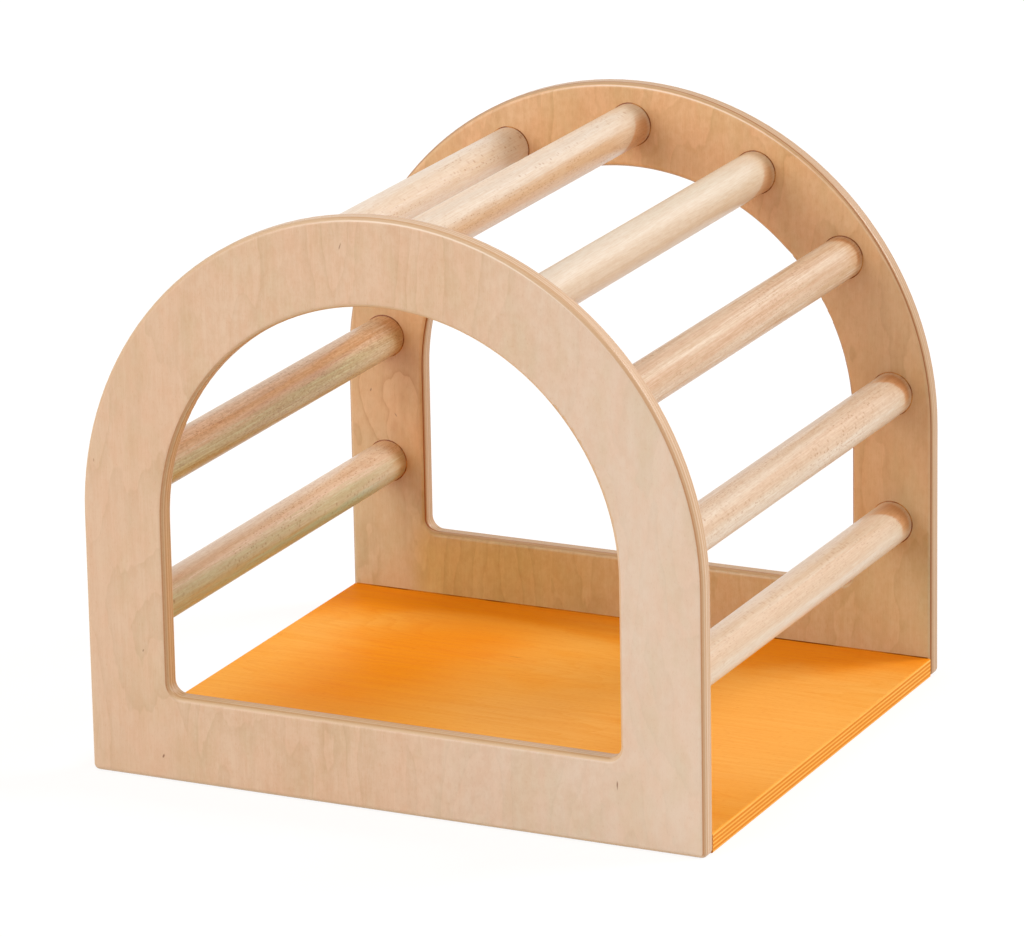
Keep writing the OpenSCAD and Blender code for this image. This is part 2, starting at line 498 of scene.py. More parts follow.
@dataclass(frozen=True)
class BirchPly:
    """Lacquered birch ply with upright face grain."""

    name: str
    layup: Layup
    seed: float
    outer: Colour = tone("DFC4A9")
    outer_pale: Colour = tone("DECBB8")
    inner: Colour = tone("D8B68C")
    inner_high: Colour = tone("E6C195")
    inner_low: Colour = tone("CFBC96")
    ply: Colour = tone("DEC2A0")
    # the colour of the highlight painted along the arch's front edge
    painted_highlight_tone: Colour = tone("FFF3E2")
    blush_tint: Colour = (1.0, 0.93, 0.89, 1.0)
    grey_tint: Colour = (0.955, 0.975, 0.93, 1.0)
    end_tint: Colour = (0.82, 0.64, 0.49, 1.0)
    line_tint: Colour = (0.67, 0.35, 0.08, 1.0)
    figure_tint: Colour = (0.90, 0.82, 0.74, 1.0)
    early_tint: Colour = (1.0, 0.96, 0.925, 1.0)
    late_tint: Colour = (0.915, 0.90, 0.835, 1.0)
    curl_tint: Colour = (0.86, 0.72, 0.58, 1.0)
    low_tint: Colour = (1.0, 0.95, 0.62, 1.0)
    doorway_tint: Colour = (0.93, 0.92, 0.84, 1.0)
    pin_tint: Colour = (0.30, 0.16, 0.09, 1.0)
    clouds: Noise = Noise((9, 60, 3.2), 3.0, 0.55, 0.4)
    patches: Noise = Noise((30, 90, 14), 3.0, 0.6, 0.3)
    mottle: Noise = Noise((85, 90, 38), 2.0, 0.6)
    specks: Noise = Noise((150, 150, 120), 4.0, 0.66)
    wander: Noise = Noise((56, 60, 20), 2.5, 0.58)
    flow: Noise = Noise((13, 60, 3.6), 1.0, 0.4, 0.5)
    contours: float = 8.0
    painted_highlight_share: float = 0.55
    pale_from: float = -65 * MM
    pale_to: float = 135 * MM
    upright: Noise = Noise((190, 190, 8), 4.0, 0.70)
    lying: Noise = Noise((12, 500, 500), 2.0, 0.6)
    fibres: Noise = Noise((1100, 1100, 60), 1.0)
    pores: Noise = Noise((1700, 1700, 260), 0.0)
    pin_rims: Noise = Noise((900, 900, 260), 1.0)
    waves: Noise = Noise((20, 20, 12), 1.0)
    outer_pins: Sequence[Pin] = ()
    inner_pins: Sequence[Pin] = ()
    swirls: Sequence[Swirl] = ()

    def paleness(self, bench: SurfaceBench) -> Reading:
        """Tell how pale the outer face is: more so to the right, and lower down."""
        return (bench.x - bench.z * 0.22).ease(self.pale_from, self.pale_to)

    def ground(self, bench: SurfaceBench, inside: Reading) -> Socket:
        """Paint the face veneer's tone, its clouds and its specks.

        Args:
            bench: the material's nodes.
            inside: 1 on the inner face, 0 on the outer one.

        Returns:
            The veneer's colour without its figure.
        """
        s = self.seed
        across, height = bench.x, bench.z
        outer = bench.blend(self.paleness(bench), self.outer, self.outer_pale)
        inner = bench.blend(height.ease(330 * MM, 460 * MM), self.inner, self.inner_high)
        inner = bench.blend(height.fade(100 * MM, 200 * MM), inner, self.inner_low)
        colour = bench.blend(inside, outer, inner)
        broad = bench.noise(self.clouds, (s, s, 0))
        patch = bench.noise(self.patches, (0, s, s))
        mottle = bench.noise(self.mottle, (s, 0, s))
        colour = bench.shade(colour, broad.ease(0.36, 0.66) * 0.45, self.blush_tint)
        colour = bench.shade(colour, patch.ease(0.42, 0.68) * 0.9, self.grey_tint)
        colour = bench.shade(colour, mottle.ease(0.40, 0.64) * 0.50, self.blush_tint)

        speck = bench.noise(self.specks, (0, 0, s)).ease(0.36, 0.66)
        middle = abs(across).ease(170 * MM, 250 * MM, 0.42, 0.20) + inside * 0.16
        colour = bench.shade(colour, speck * middle, self.figure_tint)
        sill = across.ease(-245 * MM, -215 * MM) * across.fade(-150 * MM, 60 * MM)
        low = height.fade(60 * MM, 110 * MM) * inside
        return bench.shade(colour, low * sill, self.low_tint)

    def figure(self, bench: SurfaceBench, inside: Reading, colour: Socket) -> Socket:
        """Draw the veneer's figure: the growth rings' contours, and rings at the swirls.

        Args:
            bench: the material's nodes.
            inside: 1 on the inner face, 0 on the outer one.
            colour: the veneer's colour without its figure.

        Returns:
            The veneer's colour.
        """
        s = self.seed
        wander = bench.noise(self.wander, (s, 0, s))
        level = bench.noise(self.flow, (s, 2 * s, 0)) * self.contours + wander
        curl: Value = 0.0
        for swirl in self.swirls:
            far = swirl.far(bench) + (wander - 0.5) * 1.2
            level = level + far.ease(0.0, 1.6, swirl.rings, 0.0) * inside
            curl = far.fade(0.9, 1.6).most(curl)
        ring = level.rest()
        fall = ring.fade(0.93, 1.0)
        late = ring ** 1.6 * fall
        soft = bench.noise(self.patches, (0, s, s)).ease(0.34, 0.62, 0.35, 1.0)
        shown = self.paleness(bench).ease(0.0, 1.0, 0.74, 0.37, smooth=False).most(inside)
        colour = bench.shade(colour, (1.0 - late) * 0.6, self.early_tint)
        colour = bench.shade(colour, late * soft * shown, self.late_tint)
        colour = bench.shade(colour, ring ** 7.0 * fall * shown * 0.65, self.figure_tint)
        if self.swirls:
            rim = ring ** 5.0 * fall * inside * curl
            colour = bench.shade(colour, rim * 0.6, self.curl_tint)
        return colour

    def marks(self, bench: SurfaceBench, pins: Sequence[Pin]) -> Value:
        """Work out how dark the pins make a point.

        Args:
            bench: the material's nodes.
            pins: the marks of one face.

        Returns:
            From 0 to 1.
        """
        ragged = (bench.noise(self.pin_rims) - 0.5) * 0.9
        dark: Value = 0.0
        for pin in pins:
            dark = (pin.far(bench) + ragged).ease(0.35, 1.15, pin.strength, 0.0).most(dark)
        return dark

    def painted_highlight_line(self, bench: SurfaceBench, edge: Reading) -> Reading:
        """Paint a highlight on the arch's rounded edge: where it faces front and up, as the
        lamps would shine in the lacquer.

        Args:
            bench: the material's nodes.
            edge: 0 on a face, 1 on an edge.

        Returns:
            From 0 to 1, in a thin line.
        """
        across, through, upward = (bench.part(bench.facing, axis) for axis in Axis)
        line = edge.ease(0.20, 0.38) * edge.fade(0.40, 0.60)
        line = line * through.ease(0.1, -0.1) * upward.ease(0.10, 0.26)
        line = line * across.ease(-0.14, 0.0) * across.ease(0.17, 0.25, 1.0, 0.3)
        return line * bench.z.ease(300 * MM, 400 * MM)

    def material(self) -> bpy.types.Material:
        """Build the material.

        Returns:
            Lacquered birch ply.
        """
        bench, s = SurfaceBench(self.name), self.seed
        cut = self.layup.read(bench)
        inside = cut.depth.below(self.layup.thickness / 2)
        face = self.figure(bench, inside, self.ground(bench, inside))
        own = bench.noise(Noise(), at=bench.vector(cut.number * 7.3, s, 0.5))
        ply = bench.shade(self.ply, own.ease(0.3, 0.7) * 0.6, self.figure_tint)
        colour = bench.blend(cut.veneer, ply, face)
        colour = bench.shade(colour, cut.end * 0.62, self.end_tint)
        near = bench.reach().fade(224 * MM, 232 * MM)
        doorway = near * cut.edge.ease(0.2, 0.9) * cut.plain
        colour = bench.shade(colour, doorway, self.doorway_tint)

        step = cut.number * 0.083
        own_at = bench.moved(bench.vector(step, 0.0, step))
        upright = bench.noise(self.upright, (0, s, 0), own_at)
        lying = bench.noise(self.lying, (0, s, 0), own_at)
        fibre = bench.noise(self.fibres, (s, 0, 0)) * 0.35 + upright * 0.65
        streak = fibre.toward(lying, cut.crossed).fade(0.36, 0.66)
        grain = (0.42 - self.paleness(bench) * 0.28).most(inside * 0.40)
        colour = bench.shade(colour, grain * streak, self.figure_tint)
        pore = bench.noise(self.pores, (s, 3, 0)).ease(0.64, 0.76)
        colour = bench.shade(colour, pore * 0.22, self.end_tint)
        colour = bench.shade(colour, cut.glue * 0.22, self.line_tint)
        skin = cut.skin * (inside * (near * 0.18 + 0.30) + 0.52)
        colour = bench.shade(colour, skin, self.line_tint)
        for pins, side in ((self.outer_pins, 1.0 - inside), (self.inner_pins, inside)):
            if pins:
                spots = side * self.marks(bench, pins) * cut.veneer
                colour = bench.shade(colour, spots, self.pin_tint)
        # painted highlight: a thin pale line along the arch's rounded front edge
        colour = bench.blend(self.painted_highlight_line(bench, cut.edge) * self.painted_highlight_share, colour, self.painted_highlight_tone)

        gloss = fibre.ease(0.3, 0.7, 0.38, 0.48) + cut.end * 0.10
        normal = bench.bump(fibre - pore * 0.5 - cut.glue * 0.5, 0.18, 0.10 * MM)
        normal = bench.bump(bench.noise(self.waves, (s, 0, 0)), 0.25, 0.5 * MM, normal)
        return bench.surface(colour, gloss, normal, Specular_IOR_Level=0.40,
                             Coat_Weight=0.40, Coat_Roughness=0.26)


@dataclass(frozen=True)
class PaintedLightPatch:
    """A wide soft oval painted on the floor, its lean in degrees: the darker one is painted
    shadow, the paler one painted light.
    """

    centre: Triple
    size: Triple
    lean: float
    tone: Colour
    strength: float


@dataclass(frozen=True)
class StainedPly:
    """Birch ply with an orange stain, its face grain lying across the doorways."""

    name: str
    layup: Layup
    seed: float
    light: Colour = tone("FFBA54")
    deep: Colour = tone("FFAB34")
    # painted shade: the deep tone toward the back panel, where its shadow falls on the floor
    back: Colour = tone("FF9B00")
    edge_light: Colour = tone("FFC463")
    # the tone of the light painted on the floor
    painted_light_tone: Colour = tone("FFBE60")
    end_tint: Colour = (0.82, 0.47, 0.14, 1.0)
    line_tint: Colour = (0.96, 0.84, 0.60, 1.0)
    glue_tint: Colour = (0.50, 0.26, 0.10, 1.0)
    clouds: Noise = Noise((5, 9, 40), 3.0, 0.55, 0.4)
    wander: Noise = Noise((26, 90, 60), 3.0, 0.55)
    flow: Noise = Noise((2.6, 15, 40), 1.0, 0.4, 0.5)
    contours: float = 14.0
    strong: Noise = Noise((6, 12, 40), 1.0)
    across: Noise = Noise((9, 420, 420), 3.0, 0.6)
    lengthways: Noise = Noise((420, 12, 420), 3.0, 0.6)
    pores: Noise = Noise((150, 1500, 1500), 0.0)
    mark: Triple = (-60 * MM, 110 * MM, 0.0)
    mark_size: Triple = (9 * MM, 1.0 * MM, FAR)
    # painted light and shade on the floor: a shadow at the left, a pool of light in the middle
    patches: Sequence[PaintedLightPatch] = (
        PaintedLightPatch((-150 * MM, 40 * MM, 0.0), (90 * MM, 170 * MM, FAR), -12, tone("FF9B00"), 0.8),
        PaintedLightPatch((45 * MM, -60 * MM, 0.0), (95 * MM, 85 * MM, FAR), 20, tone("FFBE60"), 0.9),
    )

    def face(self, bench: SurfaceBench) -> Socket:
        """Paint the face veneer: its tones, painted light to the right, painted shade toward the
        back, the painted light and shade of its patches, and the contours of its figure.

        Args:
            bench: the material's nodes.

        Returns:
            The veneer's colour.
        """
        s = self.seed
        x, y = bench.x, bench.y
        cloud = bench.noise(self.clouds, (s, 0, 0))
        face = bench.blend(cloud.ease(0.36, 0.66, 0.0, 0.7), self.light, self.deep)
        drift = (cloud - 0.5) * 0.3
        # painted light: the floor is paler to the right, where more light falls
        painted_light_right = (x + drift).ease(60 * MM, 240 * MM, 0.0, 0.78) * y.ease(-200 * MM, -90 * MM)
        face = bench.blend(painted_light_right, face, self.painted_light_tone)
        # painted shade: the floor deepens toward the back panel
        painted_rear_shade = (y + drift - x * 0.10).ease(110 * MM, 240 * MM, 0.0, 0.85)
        face = bench.blend(painted_rear_shade, face, self.back)
        # the patches' painted shadow and painted light
        for patch in self.patches:
            far = bench.away(patch.centre, (0.0, 0.0, patch.lean), patch.size) + drift * 6.0
            face = bench.blend(far.ease(0.1, 1.3, patch.strength, 0.0), face, patch.tone)
        wander = bench.noise(self.wander, (s, 0, 0))
        ring = (bench.noise(self.flow, (s, s, 0)) * self.contours + wander).rest()
        figure = ring ** 2.2 * ring.fade(0.94, 1.0)
        strong = bench.noise(self.strong, (0, s, 0)).ease(0.36, 0.62, 0.3, 1.0)
        return bench.shade(face, figure * strong * 0.60, self.line_tint)

    def material(self) -> bpy.types.Material:
        """Build the material.

        Returns:
            Stained ply with a thin matt finish.
        """
        bench, s = SurfaceBench(self.name), self.seed
        cut = self.layup.read(bench)
        colour = bench.blend(cut.veneer, self.edge_light, self.face(bench))
        colour = bench.shade(colour, cut.end * 0.9, self.end_tint)
        across = bench.noise(self.across, (s, 0, 0))
        lengthways = bench.noise(self.lengthways, (s, 0, 0))
        streak = across.toward(lengthways, cut.crossed).fade(0.36, 0.66)
        colour = bench.shade(colour, streak * 0.60, self.line_tint)
        pore = bench.noise(self.pores, (s, 0, 0)).ease(0.62, 0.76)
        colour = bench.shade(colour, pore * 0.30, self.end_tint)
        colour = bench.shade(colour, cut.glue * 0.60, self.glue_tint)
        spot = bench.away(self.mark, ZERO, self.mark_size).fade(0.2, 1.2) * cut.veneer
        colour = bench.shade(colour, spot * 0.45, self.glue_tint)
        gloss = across.ease(0.3, 0.7, 0.46, 0.56)
        normal = bench.bump(across - pore * 0.7 - cut.glue * 0.6, 0.20, 0.12 * MM)
        return bench.surface(colour, gloss, normal, Specular_IOR_Level=0.03)


@dataclass(frozen=True)
class ToneAndLightBand:
    """A stripe of another tone along a rung: mostly where it was cut through other wood, while
    the near-white ones on upper sides are painted highlight.

    Its turn round the rung from +X, its half width and its soft edge are in degrees.
    """

    turn: float
    half: float
    tone: Colour
    strength: float
    soft: float = 8.0
    ragged: float = 0.5


@dataclass(frozen=True)
class PaintedRimShadow:
    """The shadow of the back panel's rim, painted on a rung's back end.

    It lies on the side that its turn points to, in degrees from +X, and its shift moves
    the shade's edge away from the panel.
    """

    strength: float
    turn: float
    shift: float


@dataclass(frozen=True)
class BeechCut:
    """How one rung was cut from the log, and so what figure it shows, with the shade painted at
    its ends.
    """

    heart_turn: float
    heart_far: float
    seed: float
    flecks: float = 0.5
    rings: float = 0.5
    streaks: float = 0.5
    base: Colour = tone("E6D3BC")
    bands: Sequence[ToneAndLightBand] = ()
    # how strong the shade painted at the rung's ends is
    painted_end_shade: float = 0.85
    dashes: float = 0.0
    painted_rim_shadow: Optional[PaintedRimShadow] = None


@dataclass(frozen=True)
class Beech:
    """Turned and lacquered beech: growth rings, lengthwise streaks and short rays, with shade
    painted near the panels.
    """

    name: str
    centre: Triple
    cut: BeechCut
    radius: float
    light: Colour = tone("ECDFCF")
    ring_tint: Colour = (0.84, 0.70, 0.55, 1.0)
    fleck_tint: Colour = (0.66, 0.45, 0.27, 1.0)
    # painted shade: the tints that darken the rung's ends near the panels
    painted_end_shade_tint: Colour = (0.95, 0.72, 0.44, 1.0)
    painted_rim_shadow_tint: Colour = (0.83, 0.50, 0.25, 1.0)
    wobble: Noise = Noise((30, 2.0, 30))
    clouds: Noise = Noise((60, 3, 60))
    grain: Noise = Noise((560, 8, 560), 4.0, 0.72)
    fibres: Noise = Noise((1200, 45, 1200), 1.0)
    mottle: Noise = Noise((380, 90, 380), 2.0, 0.6)
    short: Noise = Noise((480, 170, 480), 2.0, 0.6)
    ray_bands: Noise = Noise((90, 5, 90), 1.0)
    ring_pitch: float = 2.4 * MM
    ring_wobble: float = 8 * MM
    ray_pitch: Triple = (0.9 * MM, 4.5 * MM, 6 * MM)

    def turned_to(self, bench: SurfaceBench, turn: float) -> Reading:
        """Tell how squarely the rung's side faces a direction, 1 being fully.

        Args:
            bench: the material's nodes.
            turn: the direction, in degrees from +X toward +Z.

        Returns:
            From -1 to 1.
        """
        x = bench.x - self.centre[0]
        z = bench.z - self.centre[2]
        angle = math.radians(turn)
        return x * (math.cos(angle) / self.radius) + z * (math.sin(angle) / self.radius)

    def shaded(self, bench: SurfaceBench, painted_rim_shadow: PaintedRimShadow, ragged: Reading) -> Reading:
        """Tell where the shadow of the back panel's rim is painted on the rung.

        Args:
            bench: the material's nodes.
            painted_rim_shadow: the shade's place.
            ragged: what frays its edge.

        Returns:
            From 0 to 1.
        """
        off = PANEL_FACE - bench.y
        past = off + bench.reach() - (ARCH_RADIUS + painted_rim_shadow.shift) + ragged * (6 * MM)
        shade = past.fade(-3 * MM, 3 * MM) * off.ease(2 * MM, 9 * MM, 0.2, 1.0)
        return shade * self.turned_to(bench, painted_rim_shadow.turn).ease(0.30, 0.85)

    def material(self) -> bpy.types.Material:
        """Build the material.

        Returns:
            Lacquered beech.
        """
        cut, bench, s = self.cut, SurfaceBench(self.name), self.cut.seed
        bench.at = bench.within(self.centre, (0.5, cut.heart_turn, 0.7))
        x, y, z = (bench.part(bench.at, axis) for axis in Axis)
        from_heart = x + cut.heart_far
        far = bench.length(bench.vector(from_heart, 0.0, z))
        far = far + bench.noise(self.wobble, (s, s, 0)) * self.ring_wobble
        ring = far / self.ring_pitch
        each = bench.noise(Noise(detail=0.0), at=bench.vector(ring.whole() * 3.7, s, 0.0))
        share = ring.rest()
        late = share ** 3.0 * each.ease(0.3, 0.7, 0.3, 1.0) * share.fade(0.9, 1.0)

        clouds = bench.noise(self.clouds, (s, 0, s))
        streak = bench.noise(self.grain, (0, s, 0))
        colour = bench.blend(clouds.ease(0.38, 0.66, 0.0, 0.6), cut.base, self.light)
        shift = (clouds - 0.5) * 0.8 + (streak - 0.5) * 0.8
        inward = y.ease(130 * MM, 235 * MM, 1.0, 0.45)
        for band in cut.bands:
            side = self.turned_to(bench, band.turn) + shift * band.ragged
            low, high = (math.cos(math.radians(band.half + d)) for d in (band.soft, -band.soft))
            colour = bench.blend(side.ease(low, high, 0.0, band.strength) * inward, colour,
                                 band.tone)

        fine = bench.noise(self.fibres, (0, 0, s))
        mottle = bench.noise(self.mottle, (s, 0, s)).ease(0.38, 0.64)
        colour = bench.shade(colour, mottle * (0.15 + 0.15 * cut.streaks), self.ring_tint)
        if cut.dashes:
            dash = bench.noise(self.short, (0, s, s)).ease(0.50, 0.64)
            colour = bench.shade(colour, dash * cut.dashes, self.fleck_tint)
        colour = bench.shade(colour, late * cut.rings, self.ring_tint)
        for lines, strength in ((streak.fade(0.36, 0.66), cut.streaks),
                                (fine.fade(0.34, 0.64), 0.34)):
            colour = bench.shade(colour, lines * strength, self.ring_tint)
        # painted shadow of the back panel's rim on the rung's back end
        if cut.painted_rim_shadow:
            shade = self.shaded(bench, cut.painted_rim_shadow, streak - 0.5)
            colour = bench.shade(colour, shade * cut.painted_rim_shadow.strength, self.painted_rim_shadow_tint)
        # painted shade: each rung darkens and warms toward both panels, where the joints' shade
        # falls
        painted_end_shade = PANEL_FACE - abs(y) + (streak - 0.5) * (20 * MM)
        colour = bench.shade(colour, painted_end_shade.fade(8 * MM, 30 * MM) * cut.painted_end_shade,
                             self.painted_end_shade_tint)

        angle = bench.math("ARCTAN2", z, from_heart)
        around, along, outward = self.ray_pitch
        near, chance = bench.cells(
            bench.vector(angle * (cut.heart_far / around), y * (1 / along), far * (1 / outward)))
        bands = bench.noise(self.ray_bands, (s, 0, 2 * s)).ease(0.40, 0.60, 0.2, 1.0)
        ray = near.fade(0.15, 0.50) * chance.ease(0.25, 0.75) * bands
        colour = bench.shade(colour, ray * cut.flecks, self.fleck_tint)
        gloss = streak.ease(0.3, 0.7, 0.30, 0.40)
        normal = bench.bump(fine - ray * 0.4, 0.15, 0.08 * MM)
        return bench.surface(colour, gloss, normal, Specular_IOR_Level=0.40,
                             Coat_Weight=0.15, Coat_Roughness=0.28)


@dataclass(frozen=True)
class DowelBeech:
    """Plain fluted beech of the hidden dowels."""

    name: str
    base: Colour = tone("E0C093")
    streak: Colour = tone("CDA878")
    grain: Noise = Noise((500, 20, 500))

    def material(self) -> bpy.types.Material:
        """Build the material.

        Returns:
            Unlacquered beech.
        """
        bench = SurfaceBench(self.name)
        grain = bench.noise(self.grain)
        colour = bench.blend(grain.ease(0.35, 0.65), self.base, self.streak)
        gloss = grain.ease(0.3, 0.7, 0.6, 0.7)
        return bench.surface(colour, gloss, bench.bump(grain, 0.3, 0.1 * MM))


@dataclass(frozen=True)
class LacquerBead:
    """Lacquer that ran into a joint and dried darker than the wood beside it."""

    name: str
    dark: Colour
    light: Colour
    runs: Noise = Noise((60, 60, 60))
    shine: float = 0.3
    settle: float = 0.0
    lumps: Noise = Noise((900, 900, 900), 1.0)
    lump_tint: Colour = (0.6, 0.5, 0.4, 1.0)

    def material(self) -> bpy.types.Material:
        """Build the material.

        Returns:
            Dried lacquer.
        """
        bench = SurfaceBench(self.name)
        runs = bench.noise(self.runs) - bench.part(bench.facing, Axis.Z) * self.settle
        colour = bench.blend(runs.ease(0.40, 0.62), self.dark, self.light)
        lumps = bench.noise(self.lumps)
        colour = bench.shade(colour, lumps.ease(0.4, 0.6) * 0.3, self.lump_tint)
        gloss = runs.ease(0.3, 0.7, 0.3, 0.45)
        return bench.surface(colour, gloss, bench.bump(lumps, 0.3, 0.1 * MM),
                             Specular_IOR_Level=self.shine)


# ------------ sub-assemblies


@dataclass
class Carried:
    """A sub-assembly that keeps the shape of its carried-over solids."""

    node: str
    finish: Union[BirchPly, StainedPly, Beech, DowelBeech]

    def build(self) -> None:
        """Dress the solids."""
        material = self.finish.material()
        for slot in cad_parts[self.node].material_slots:
            slot.material = material
        log.info("%s: finish %s", self.node, material.name)


class SidePanel(Carried):
    """One of the two upright boards with a doorway."""


class FloorBoard(Carried):
    """The stained board between the panels."""


class DowelRow(Carried):
    """The hidden dowels at one end of the floor."""


@dataclass
class Rung:
    """A round bar between the panels."""

    node: str
    cut: BeechCut

    def build(self) -> None:
        """Dress the bar with a finish that is centred on its axis."""
        low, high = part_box(self.node)
        middle = (low + high) / 2
        centre = (middle.x, 0.0, middle.z)
        finish = Beech(f"beech_{self.node}", centre, self.cut, (high.x - low.x) / 2)
        Carried(self.node, finish).build()


@dataclass
class MouthBeads:
    """The bead of lacquer in the corner between each rung and the panel that it enters.

    The outline's points are a distance from the rung's axis and one off the panel's face.
    """

    rungs: Sequence[str]
    corners: int = 96
    outline: Sequence[tuple[float, float]] = (
        (19.90 * MM, 0.55 * MM), (20.20 * MM, 0.26 * MM), (20.55 * MM, 0.10 * MM),
        (21.00 * MM, 0.00 * MM), (20.50 * MM, -0.35 * MM), (19.90 * MM, -0.45 * MM),
    )
    smooth_under: float = math.radians(40)
    finish: LacquerBead = LacquerBead("mouth_bead", tone("8A4A1C"), tone("C68A48"),
                                      settle=0.06)

    def model(self) -> bpy.types.Object:
        """Model one bead around the Y axis, at the back panel's inner face.

        Returns:
            The bead, closed all round.
        """
        radius, out = self.outline[0]
        bpy.ops.object.select_all(action="DESELECT")
        bpy.ops.mesh.primitive_circle_add(vertices=self.corners, radius=radius,
                                          location=(0, PANEL_FACE - out, 0),
                                          rotation=(math.pi / 2, 0, 0))
        bead = bpy.context.object
        bpy.ops.object.transform_apply(location=True, rotation=True, scale=True)
        bpy.ops.object.mode_set(mode="EDIT")
        bpy.ops.mesh.select_mode(type="EDGE")
        bpy.ops.mesh.select_all(action="SELECT")
        for wider, further in self.outline[1:]:
            bpy.ops.mesh.extrude_edges_move(
                TRANSFORM_OT_translate={"value": (0, out - further, 0)})
            bpy.ops.transform.resize(value=(wider / radius, 1, wider / radius))
            radius, out = wider, further
        bpy.ops.mesh.select_all(action="DESELECT")
        bpy.ops.mesh.select_non_manifold()
        bpy.ops.mesh.bridge_edge_loops()
        bpy.ops.mesh.select_all(action="SELECT")
        bpy.ops.mesh.normals_make_consistent(inside=False)
        bpy.ops.object.mode_set(mode="OBJECT")
        bpy.ops.object.shade_smooth_by_angle(angle=self.smooth_under)
        bead.data.materials.append(self.finish.material())
        return bead

    def place(self, bead: bpy.types.Object, name: str, at: Vector, front: bool) -> None:
        """Copy the bead to one end of a rung.

        Args:
            bead: the bead as modelled.
            name: the copy's name.
            at: the middle of the rung.
            front: whether it goes to the front panel.
        """
        bpy.ops.object.select_all(action="DESELECT")
        bead.select_set(True)
        bpy.context.view_layer.objects.active = bead
        bpy.ops.object.duplicate(linked=False)
        copy = bpy.context.object
        copy.name = name
        copy.data.name = name
        if front:
            bpy.ops.transform.rotate(value=math.pi, orient_axis="Z", center_override=(0, 0, 0))
        bpy.ops.transform.translate(value=(at.x, 0, at.z))
        bpy.ops.object.transform_apply(location=True, rotation=True, scale=True)
        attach(copy, BODY)
        log.info("%s: placed", name)

    def build(self) -> None:
        """Model a bead and copy it to both ends of every rung."""
        bead = self.model()
        for rung in self.rungs:
            low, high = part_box(rung)
            for end in ("front", "back"):
                self.place(bead, f"{rung}_{end}_bead", (low + high) / 2, end == "front")
        bpy.data.objects.remove(bead)


@dataclass
class FloorSeam:
    """The fillet of stain and lacquer along the joint between the floor and a panel."""

    name: str
    front: bool
    floor_top: float = 18 * MM
    length: float = 592 * MM
    size: float = 0.9 * MM
    sunk: float = 0.1 * MM
    hollow: float = 0.92  # the bevel's share of the size
    smooth_under: float = math.radians(35)
    finish: LacquerBead = LacquerBead("floor_seam", tone("8E5410"), tone("CC8028"),
                                      Noise((25, 25, 25)), 0.02)

    def build(self) -> None:
        """Model the fillet as a bar with a hollow bevel, and lay it into the corner."""
        side = -1 if self.front else 1
        full = self.size + self.sunk
        middle = (0, side * (PANEL_FACE - self.size + full / 2),
                  self.floor_top - self.sunk + full / 2)
        bpy.ops.object.select_all(action="DESELECT")
        bpy.ops.mesh.primitive_cube_add(size=1, location=middle, scale=(self.length, full, full))
        seam = bpy.context.object
        seam.name = self.name
        seam.data.name = self.name
        bpy.ops.object.transform_apply(location=True, rotation=True, scale=True)
        for edge in seam.data.edges:
            ends = [seam.data.vertices[i].co for i in edge.vertices]
            edge.select = all(e.z > middle[2] and side * (e.y - middle[1]) < 0 for e in ends)
        for face in seam.data.polygons:
            face.select = False
        bpy.ops.object.mode_set(mode="EDIT")
        bpy.ops.mesh.select_mode(type="EDGE")
        bpy.ops.mesh.bevel(offset=self.size * self.hollow, segments=5, profile=0.22)
        bpy.ops.mesh.select_all(action="SELECT")
        bpy.ops.mesh.normals_make_consistent(inside=False)
        bpy.ops.object.mode_set(mode="OBJECT")
        bpy.ops.object.shade_smooth_by_angle(angle=self.smooth_under)
        seam.data.materials.append(self.finish.material())
        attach(seam, BODY)
        log.info("%s: laid", self.name)


# ------------ studio


@dataclass(frozen=True)
class Lamp:
    """A far lamp.

    It shines from the direction that towards gives.  Level is how bright a surface that
    faces it becomes, 1 being its own colour, and spread the angle that the lamp fills, in
    degrees, which softens its shadows.
    """

    name: str
    towards: Triple
    level: float
    spread: float
    colour: Triple = ONE

    def build(self) -> None:
        """Add the lamp to the scene."""
        data = bpy.data.lights.new(self.name, "SUN")
        data.energy = self.level * math.pi
        data.angle = math.radians(self.spread)
        data.color = self.colour
        lamp = bpy.data.objects.new(self.name, data)
        lamp.rotation_euler = Vector(self.towards).to_track_quat("Z", "Y").to_euler()
        bpy.context.scene.collection.objects.link(lamp)
        log.info("%s: lamp", self.name)


